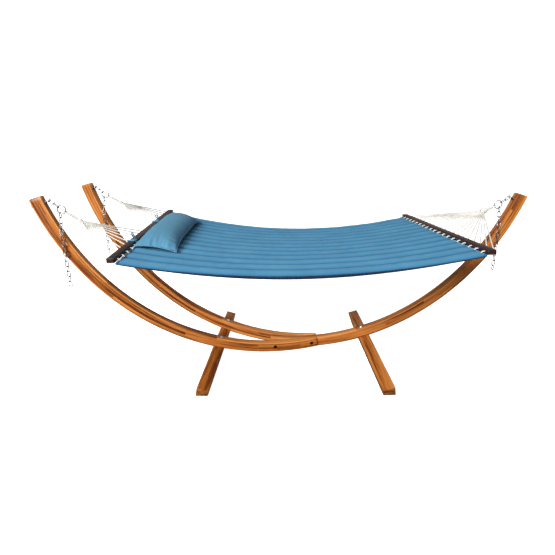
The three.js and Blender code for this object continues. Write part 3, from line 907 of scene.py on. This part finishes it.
# Arm, the anchor links' pull, where the surplus chain hangs in y, its links, way to the bed
SUSPENSIONS = (
    (NEAR_ARM, Vector((0.75, -0.14, -0.65)), -0.337, 14, 1),
    (FAR_ARM, Vector((0.75, -0.14, -0.65)), 0.249, 13, 1),
    (SINGLE_ARM, Vector((-0.81, -0.12, -0.57)), -0.040, 13, -1),
)


def build_suspension():
    """Anchor links, ring and surplus chain at each arm. Returns the rings' centres."""
    rings = []
    for arm, pull, chain_y, count, to_bed in SUSPENSIONS:
        pull = pull.normalized()
        seat, inward = arm.seat(arm.eye_angle)
        eye_top = seat + inward * (EYE_HEIGHT + EYE_RADIUS)
        start = eye_top - pull * (EYE_WIRE + LINK_WIRE + SLACK)
        shape = Shape()
        add_chain(shape, start, [pull, pull], inward.cross(Vector((0, 0, 1))).normalized())
        fitting(arm, "_anchor_links", shape, 60, "_anchor_chain")

        ring = box_middle(arm.name + "_ring")
        rings.append(ring)
        shape = Shape()
        hoop = circle(ring, Vector((1, 0, 0)), Vector((0, 0, 1)), RING_RADIUS, 56)
        shape.sweep(hoop, RING_WIRE, 14, closed=True)
        fitting(arm, "_hoop", shape, 60, "_ring")

        rest = (RING_RADIUS - RING_WIRE - LINK_WIRE - SLACK) * sqrt(0.5)
        top = ring + Vector((-to_bed * rest, 0, -rest))
        lean = tan(asin((chain_y - top.y) / (3 * LINK_PITCH)))
        directions = []
        for i in range(count):
            sideways = lean if 1 <= i <= 3 else 0.0
            drift = -to_bed * CHAIN_DRIFT if i > 3 else 0.0
            directions.append(Vector((drift, sideways, -1)).normalized())
        shape = Shape()
        add_chain(shape, top, directions, Vector((1, 0, 0)))
        made, body = shape.mesh("links", 60), arm.name + "_chain"
        piece(arm.name + "_hanging_links", made, STEEL, body, [arm.name + "_surplus_chain"])
    return rings


# ---- Spreader bars ----
class Bar:
    """A spreader bar. Its frame has the bar along Y, with X pointing right."""

    def __init__(self, name, x, z, yaw, tilt, outward):
        self.name = name
        self.x = x
        self.outward = outward
        level = Matrix.Rotation(radians(yaw), 4, "Z")
        turn = level @ Matrix.Rotation(radians(tilt), 4, "X")
        self.frame = Matrix.Translation((x, 0, z)) @ turn

    def point(self, x, y, z):
        return self.frame @ Vector((x, y, z))


LEFT_BAR = Bar("left_spreader_bar", -0.960, 0.893, 2.95, -0.5, -1)
RIGHT_BAR = Bar("right_spreader_bar", 0.970, 0.873, 0.8, -4.0, 1)


def rope_y(i):
    return (i - (ROPE_COUNT - 1) / 2) * ROPE_SPACING


def build_bars():
    for bar in (LEFT_BAR, RIGHT_BAR):
        size = Vector((BAR_WIDTH, BAR_LENGTH, BAR_HEIGHT))
        mesh = rounded_block(bar.name, lambda spot: spot * size, BAR_ROUNDING, 4)
        drill = Shape()
        for i in range(ROPE_COUNT):
            place = upright(Vector((-BAR_WIDTH, rope_y(i), 0)), Vector((1, 0, 0)))
            drill.rod(place, ROPE_HOLE, 2 * BAR_WIDTH, 16)
        mesh = cut(mesh, [drill])
        mesh.transform(bar.frame)
        smooth_by_angle(mesh, 40)
        inverse = bar.frame.inverted()
        shift = 5.0 * bar.outward

        def locate(point):
            local = inverse @ Vector(point)
            return (local.y + shift, local.x, local.z)

        set_grain(mesh, locate)
        piece(bar.name + "_timber", mesh, DARK_TIMBER, "hammock", [bar.name])


# ---- Bed ----
def wave(x, y, z):
    """Smooth unevenness, from -1 to 1, that is the same on every run."""
    return noise.noise(Vector((x, y, z)))


def bed_point(u, v, lift=0.0):
    """The bed's middle surface, lifted: u runs from the left hem to the right, v away."""
    y = (2 * v - 1) * BED_HALF_WIDTH
    left = LEFT_BAR.point(BAR_TO_HEM, y, -BED_DROP)
    right = RIGHT_BAR.point(-BAR_TO_HEM, y, -BED_DROP)
    point = left.lerp(right, u)
    sag = BED_NEAR_SAG + (BED_FAR_SAG - BED_NEAR_SAG) * v
    point.z += lift - sag * 4 * u * (1 - u)
    return point


def skin_lift(u, v, side):
    """How far the bed's top (1) or underside (-1) stands off its middle surface."""
    from_hem = min(u, 1 - u) * HEM_TO_HEM
    from_edge = min(v, 1 - v) * 2 * BED_HALF_WIDTH
    full = 0.25 + 0.75 * (1 - exp(-from_hem / HEM_TAPER))
    edge = 1 - exp(-from_edge / EDGE_TAPER)
    phase = v * CHANNELS
    wander = 0.06 * wave(u * 3.0, round(phase), 7.0)
    puff = abs(sin(pi * (phase + wander * sin(pi * (phase % 1))))) ** 0.5
    wrinkle = wave(u * 46, phase * 0.9, side * 3.1)
    ripple = wave(u * 14, phase * 0.35, side * 9.7)
    swell = TOP_SWELL if side > 0 else UNDER_SWELL
    lift = SEWN_LIFT + swell * puff * (1 + 0.22 * wrinkle) * edge * full
    return max(lift + 0.0016 * ripple * edge, 0.0009)


def cloth_roll(name, at, size, steps, look):
    """A rolled edge of cloth. at and size give its middle and its radius along it."""
    spots = [k / steps for k in range(steps + 1)]
    shape = Shape()
    shape.sweep([at(t) for t in spots], [size(t) for t in spots], 12)
    return piece(name, shape.mesh(name, 75), look, "hammock")


def build_hem(u, name, bar):
    """Drawn in a little by each rope."""
    def at(v):
        return bed_point(u, v, 0.002) + Vector((bar.outward * 0.001, 0, 0))

    def size(v):
        pleat = 0.5 + 0.5 * cos(TAU * v * ROPE_COUNT)
        return 0.0078 - 0.001 * pleat + 0.0004 * wave(v * 60, u, 0)

    return cloth_roll(name + "_hem", at, size, 220, QUILT)


def build_binding(v, name):
    """Fullest at the middle of the bed's edge."""
    # Its navy cloth is painted shade along the underside of the bed's edge.
    def fullness(u):
        return 0.0026 + 0.0058 * sin(pi * u) ** 1.5

    def at(u):
        return bed_point(u, v, -fullness(u) * 0.9)

    def size(u):
        return fullness(u) + 0.0003 * wave(u * 40, v, 4)

    return cloth_roll(name + "_binding", at, size, 160, SHADE_BINDING)


def build_bed():
    columns, rows = 170, CHANNELS * 12
    verts = [
        bed_point(i / columns, j / rows, side * skin_lift(i / columns, j / rows, side))
        for side in (1, -1)
        for i in range(columns + 1)
        for j in range(rows + 1)
    ]
    faces, maps, kinds = [], [], []

    def quad(corners, kind=0):
        """One face. A corner is (column, row, side), side 0 on top."""
        faces.append([(side * (columns + 1) + i) * (rows + 1) + j for i, j, side in corners])
        width = 2 * BED_HALF_WIDTH
        maps.append([(i / columns * CLOTH_LENGTH, j / rows * width) for i, j, _ in corners])
        kinds.append(kind)

    for i in range(columns):
        for j in range(rows):
            ring = [(i, j), (i + 1, j), (i + 1, j + 1), (i, j + 1)]
            quad([(*spot, 0) for spot in ring])
            # The underside takes the navy cloth: painted shade.
            quad([(*ring[k], 1) for k in (0, 3, 2, 1)], kind=1)
    for i in range(columns):
        for j in (0, rows):
            quad([(i, j, 0), (i + 1, j, 0), (i + 1, j, 1), (i, j, 1)])
    for j in range(rows):
        for i in (0, columns):
            quad([(i, j, 0), (i, j + 1, 0), (i, j + 1, 1), (i, j, 1)])
    shape = Shape()
    shape.add(verts, faces, maps, kinds)
    mesh = shape.mesh("quilted_cloth", 75)
    bed = piece("quilted_cloth", mesh, QUILT, "hammock", ["quilted_bed"])
    edges = [
        build_hem(0.0, "left", LEFT_BAR),
        build_hem(1.0, "right", RIGHT_BAR),
        build_binding(0.0, "near"),
        build_binding(1.0, "far"),
    ]


# ---- Ropes ----
def bezier(points, steps):
    a, b, c, d = points
    out = []
    for k in range(steps + 1):
        t = k / steps
        out.append(a * (1 - t) ** 3 + b * 3 * t * (1 - t) ** 2 + c * 3 * t * t * (1 - t) + d * t ** 3)
    return out


def rope_path(bar, apex, along, y, rng):
    """From inside the knot to its hole, through the bar and on to the top of the hem."""
    outward = bar.outward
    mouth = bar.point(outward * (BAR_WIDTH / 2 + 0.004), y, 0)
    lead = apex.lerp(mouth, 0.12) + along * (mouth - apex).length * 0.012
    arrive = mouth.lerp(apex, 0.3) - Vector((0, 0, rng.uniform(0.0, ROPE_SAG)))
    path = bezier([apex, lead, arrive, mouth], 18)
    inside = -outward * (BAR_WIDTH / 2 + 0.002)
    on_hem = -BED_DROP + BED_HALF_THICKNESS - 0.002
    slip = rng.uniform(-ROPE_SLIP, ROPE_SLIP)
    for x, drift, z in (
        (-inside * 0.5, 0, 0),
        (inside, 0, -0.0005),
        (inside * 1.4, 0.4, -0.0015),
        (-outward * (BAR_TO_HEM + 0.003), 1, on_hem + 0.004),
        (-outward * (BAR_TO_HEM + 0.008), 1, on_hem - 0.001),
    ):
        path.append(bar.point(x, y + drift * slip, z))
    return path


def add_whipping(shape, start, end, radii, turns, cord=0.0022):
    """Cord wound closely round a neck, from start to end."""
    axis = (end - start).normalized()
    first = axis.cross(Vector((0, 1, 0.2))).normalized()
    second = axis.cross(first)
    steps = turns * 16
    path = []
    for k in range(steps + 1):
        t = k / steps
        position = t * (len(radii) - 1)
        low = min(int(position), len(radii) - 2)
        radius = radii[low] + (radii[low + 1] - radii[low]) * (position - low)
        angle = TAU * turns * t
        turned = first * cos(angle) + second * sin(angle)
        path.append(start.lerp(end, t) + turned * radius)
    shape.sweep(path, cord, 8)


# Name, bar, knot, its ropes, neck's radius, knot's radius and the seed of its ropes' slack
FANS = (
    ("near_left", LEFT_BAR, Vector((-1.240, -0.312, 1.026)), range(10), 0.0065, 0.011, 1),
    ("far_left", LEFT_BAR, Vector((-1.240, 0.300, 1.032)), range(10, 20), 0.0065, 0.011, 2),
    ("right", RIGHT_BAR, Vector((1.254, -0.004, 0.994)), range(20), 0.008, 0.021, 3),
)


def fan_mesh(bar, ring, apex, stations, neck_radius, knot_radius, seed):
    """A loop on the ring, a whipped neck, a knot at the apex, and the ropes from it."""
    rng = random.Random(seed)
    shape = Shape()
    outward = apex - ring
    outward.y = 0
    outward.normalize()
    middle = ring + outward * RING_RADIUS
    shape.sweep(circle(middle, outward, Vector((0, 1, 0)), 0.0085, 28), 0.0038, 10, closed=True)
    start = middle + outward * 0.0092
    along = (apex - start).normalized()
    shape.sweep([start.lerp(apex, t / 8) for t in range(9)], neck_radius * 0.72, 14)
    turns = max(8, int((apex - start).length / 0.0046))
    end = apex - along * knot_radius * 0.6
    add_whipping(shape, start + along * 0.002, end, [neck_radius * 0.8] * 2, turns)

    def on_knot(share):
        return apex + along * knot_radius * share

    knot = knot_radius * 0.82
    radii = [knot * share for share in (0.62, 1, 1.02, 0.7)]
    turns = max(5, int(knot_radius * 2 / 0.0052))
    add_whipping(shape, on_knot(-1), on_knot(0.9), radii, turns, 0.003)
    core = [on_knot(share) for share in (-0.9, -0.4, 0, 0.5, 0.9)]
    shape.sweep(core, [knot * share for share in (0.5, 0.9, 1, 0.9, 0.55)], 16)
    for i in stations:
        shape.sweep(rope_path(bar, apex, along, rope_y(i), rng), ROPE_RADIUS, 8)
    return shape.mesh("ropes", 70)


def build_fans(rings):
    """The left fans stretch between the stand and the hammock. The right one rides on it."""
    for ring, (name, bar, *rest) in zip(rings, FANS):
        body = "hammock" if bar is RIGHT_BAR else None
        fan = piece(name + "_ropes", fan_mesh(bar, ring, *rest), ROPE, body, [name + "_rope_fan"])
        if body is None:
            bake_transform(fan)


# ---- Pillow ----
def pillow_point(u, v, side):
    """The pillow's skin: u across from the bar side, v away from the viewer.

    side is 1 on top, 0 at the seam and -1 below.
    """
    bed_length = RIGHT_BAR.x - LEFT_BAR.x - 2 * BAR_TO_HEM
    across, away = 2 * u - 1, 2 * v - 1
    y = PILLOW_NEAR + (PILLOW_FAR - PILLOW_NEAR) * v
    y -= 0.014 * away * abs(away) ** 3 * (1 - across ** 2)
    x = PILLOW_FROM_HEM + u * PILLOW_WIDTH
    x -= 0.013 * across * abs(across) ** 3 * (1 - away ** 4)
    plump = (max(0.0, 1 - abs(across) ** 2.4) * max(0.0, 1 - abs(away) ** 4.5)) ** 0.6
    seam = 0.008 + 0.027 * (1 - away ** 4) * (1 - 0.5 * (1 - u)) + 0.012 * (1 - across ** 2)
    lift = BED_HALF_THICKNESS - 0.002 + seam
    if side > 0:
        lift += 0.052 * plump
    elif side < 0:
        lift -= (seam - 0.001) * plump
    return bed_point(x / bed_length, (y / BED_HALF_WIDTH + 1) / 2, lift)


def pillow_mesh():
    """Top and underside, which share the points of the seam between them."""
    columns, rows = 40, 112
    index = {}
    verts = []

    def vertex(i, j, side):
        on_seam = i in (0, columns) or j in (0, rows)
        key = (i, j, 0 if on_seam else side)
        if key not in index:
            index[key] = len(verts)
            verts.append(pillow_point(i / columns, j / rows, key[2]))
        return index[key]

    faces, maps, kinds = [], [], []
    for side in (1, -1):
        for i in range(columns):
            for j in range(rows):
                ring = [(i, j), (i + 1, j), (i + 1, j + 1), (i, j + 1)]
                if side < 0:
                    ring.reverse()
                faces.append([vertex(a, b, side) for a, b in ring])
                maps.append([(a / columns * 0.3, b / rows * 0.93) for a, b in ring])
                # The underside takes the navy cloth: painted shade below the seam.
                kinds.append(TOP if side > 0 else UNDERSIDE)
    shape = Shape()
    shape.add(verts, faces, maps, kinds)
    return shape.mesh("pillow", 80)


def settle(made):
    """Inflates the pillow's top between its held seams. The underside lies on the bed."""
    mesh = made.data
    start = [v.co.copy() for v in mesh.vertices]
    kinds = {}
    for polygon in mesh.polygons:
        for k in polygon.vertices:
            kinds.setdefault(k, set()).add(polygon.material_index)
    seam = made.vertex_groups.new(name="seam")
    seam.add([k for k, found in kinds.items() if len(found) > 1], 1.0, "REPLACE")
    cloth = made.modifiers.new("cloth", "CLOTH")
    settings = cloth.settings
    settings.quality = 8
    settings.mass = 0.3
    settings.use_pressure = True
    settings.uniform_pressure_force = 4
    settings.vertex_group_mass = "seam"
    settings.effector_weights.gravity = 0
    cloth.point_cache.frame_start = 1
    cloth.point_cache.frame_end = CLOTH_STEPS
    for step in range(1, CLOTH_STEPS + 1):
        scene.frame_set(step)
    depsgraph = bpy.context.evaluated_depsgraph_get()
    moved = [v.co.copy() for v in made.evaluated_get(depsgraph).data.vertices]
    made.modifiers.remove(cloth)
    for k, (vert, before, after) in enumerate(zip(mesh.vertices, start, moved)):
        if kinds[k] == {TOP}:
            shift = after - before
            shift.z = max(shift.z, 0.0)
            shift.length = min(shift.length, CLOTH_REACH)
            vert.co = before + shift
    made.vertex_groups.remove(seam)
    scene.frame_set(1)


def wrinkle(mesh):
    """Small creases that run in from the seams, most of all at the ends."""
    middle = sum((v.co for v in mesh.vertices), Vector()) / len(mesh.vertices)
    mesh.update()
    for vert in mesh.vertices:
        local = vert.co - middle
        to_end = max(0.0, 1 - min(1.0, (0.46 - abs(local.y)) / 0.14))
        crease = 1.9 * wave(local.x * 52, local.y * 8, 2.0) * to_end
        to_side = max(0.0, 1 - min(1.0, (0.12 - abs(local.x)) / 0.06))
        crease += wave(local.x * 8, local.y * 34, 5.0) * 0.8 * to_side
        crease += 0.5 * wave(local.x * 11, local.y * 7, 8.0)
        vert.co += vert.normal * 0.006 * crease


def build_pillow():
    mesh = pillow_mesh()
    made = piece("soft_pillow", mesh, PILLOW_CLOTH, "pillow", ["pillow"])
    settle(made)
    wrinkle(mesh)
    modifier = made.modifiers.new("smooth", "SUBSURF")
    modifier.levels = modifier.render_levels = 1

    steps = 60
    rim = [(k / steps, 0.0) for k in range(steps)]
    rim += [(1.0, k / (2 * steps)) for k in range(2 * steps)]
    rim += [(1 - k / steps, 1.0) for k in range(steps)]
    rim += [(0.0, 1 - k / (2 * steps)) for k in range(2 * steps)]
    shape = Shape()
    shape.sweep([pillow_point(u, v, 0) for u, v in rim], PILLOW_PIPING, 10, closed=True)
    piece("pillow_piping", shape.mesh("piping", 75), PIPING, "pillow")


def tie_band(y):
    """The loop of a tie round the bar, with its corners rounded."""
    half_x, half_z = BAR_WIDTH / 2 + 0.0015, BAR_HEIGHT / 2 + 0.0015
    bend = 0.004
    band = []
    for quarter, (side_x, side_z) in enumerate(((1, 1), (-1, 1), (-1, -1), (1, -1))):
        for k in range(5):
            angle = radians(90) * (quarter + k / 4)
            x = side_x * (half_x - bend) + bend * cos(angle)
            z = side_z * (half_z - bend) + bend * sin(angle)
            band.append(Vector((x, y, z)))
    return band


def build_ties():
    """Each is a band round the left bar, a knot, a strap to the pillow and three loose ends."""
    ribbon = [(-1.0, -0.12), (1.0, -0.12), (1.0, 0.12), (-1.0, 0.12)]
    for y, name in zip(TIE_STATIONS, ("near", "far")):
        rng = random.Random(int(y * 1000))
        shape = Shape()
        shape.sweep(tie_band(y), 0.0012, closed=True, profile=round_rim(12, 5.5))
        knot = Vector((0.020, y, BAR_HEIGHT / 2 + 0.0085))
        half_knot = Vector((0, 0.007, 0))
        radii = [0.004, 0.0065, 0.004]
        add_whipping(shape, knot - half_knot, knot + half_knot, radii, 4, 0.0028)
        seam = Vector((BAR_TO_HEM + PILLOW_FROM_HEM, y, 0.019))
        raised = seam.lerp(knot, 0.3) + Vector((0, 0, 0.002))
        strap = bezier([seam, raised, seam.lerp(knot, 0.7), knot], 8)
        shape.sweep(strap, 0.0045, profile=ribbon)
        for side, height, reach in ((-1, 0.046, 0.024), (1, 0.040, 0.020), (-0.3, 0.030, 0.030)):
            tip = knot + Vector((-0.014 + rng.uniform(-0.006, 0.006), side * reach, height))
            bend = knot + Vector((-0.004, side * reach * 0.9, height * 0.35))
            shape.sweep(bezier([knot, bend, bend.lerp(tip, 0.5), tip], 10), 0.0042, profile=ribbon)
        mesh = shape.mesh("tie", 60)
        mesh.transform(LEFT_BAR.frame)
        piece(name + "_tie", mesh, PILLOW_CLOTH, "hammock", [name + "_pillow_tie"])


build_arms()
build_foot("left_foot", LEFT_FOOT_X, -1, (NEAR_ARM, FAR_ARM))
build_foot("right_foot", RIGHT_FOOT_X, 1, (SINGLE_ARM,))
build_fasteners()
build_eye_bolts()
rings = build_suspension()
build_bars()
build_bed()
build_fans(rings)
build_pillow()
build_ties()
